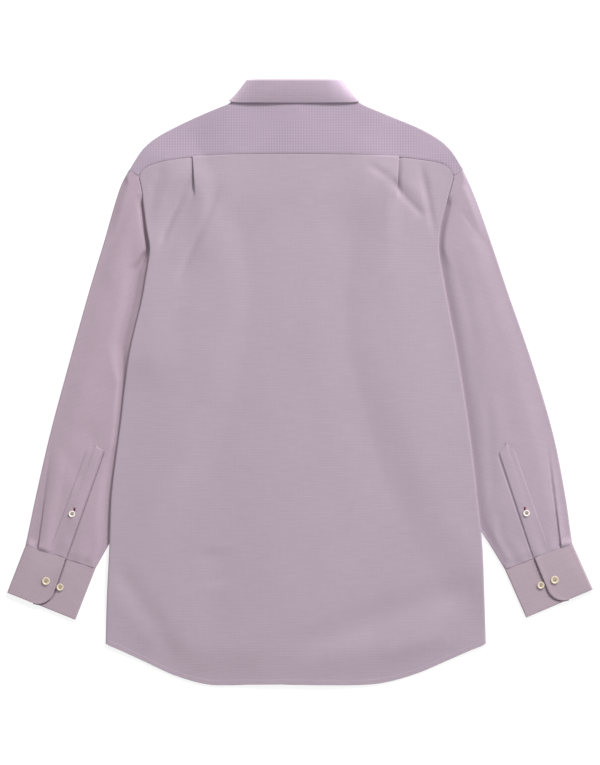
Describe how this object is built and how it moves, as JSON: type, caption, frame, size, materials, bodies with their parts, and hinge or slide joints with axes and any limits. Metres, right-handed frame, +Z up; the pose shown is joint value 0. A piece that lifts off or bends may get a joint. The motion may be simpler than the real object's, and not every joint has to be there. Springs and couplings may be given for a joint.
{
  "type": "long sleeve dress shirt",
  "caption": "Long sleeve dress shirt laid flat with its back up: folded collar, yoke, back pleats, buttoned cuffs and sleeve plackets.",
  "frame": {"origin": "middle of the whole layout's box, on the surface that the shirt lies on", "axes": "+Y from the hem to the collar, +X to the right with the back of the shirt up, +Z up from the surface"},
  "size_m": [0.808, 0.8352, 0.027],
  "materials": {
    "shirting": "fine lavender and white micro-check cotton, matt with a faint sheen",
    "interlined_shirting": "the same cotton over interlining, crisp and flat, edge stitched",
    "button": "ivory four-hole buttons, soft gloss"
  },
  "bodies": {
    "root": {"back": "shirting", "yoke": "shirting", "front_left": "shirting", "front_right": "shirting", "sleeve_left": "shirting", "sleeve_right": "shirting", "gauntlet_left": "shirting", "gauntlet_right": "shirting", "cuff_left": "interlined_shirting", "cuff_right": "interlined_shirting", "collar_stand": "interlined_shirting", "collar_leaf": "interlined_shirting", "front_button_1": "button", "front_button_2": "button", "front_button_3": "button", "front_button_4": "button", "front_button_5": "button", "front_button_6": "button", "front_button_7": "button", "collar_button": "button", "gauntlet_button_left": "button", "gauntlet_button_right": "button", "cuff_button_outer_left": "button", "cuff_button_outer_right": "button", "cuff_button_inner_left": "button", "cuff_button_inner_right": "button"}
  },
  "joints": []
}
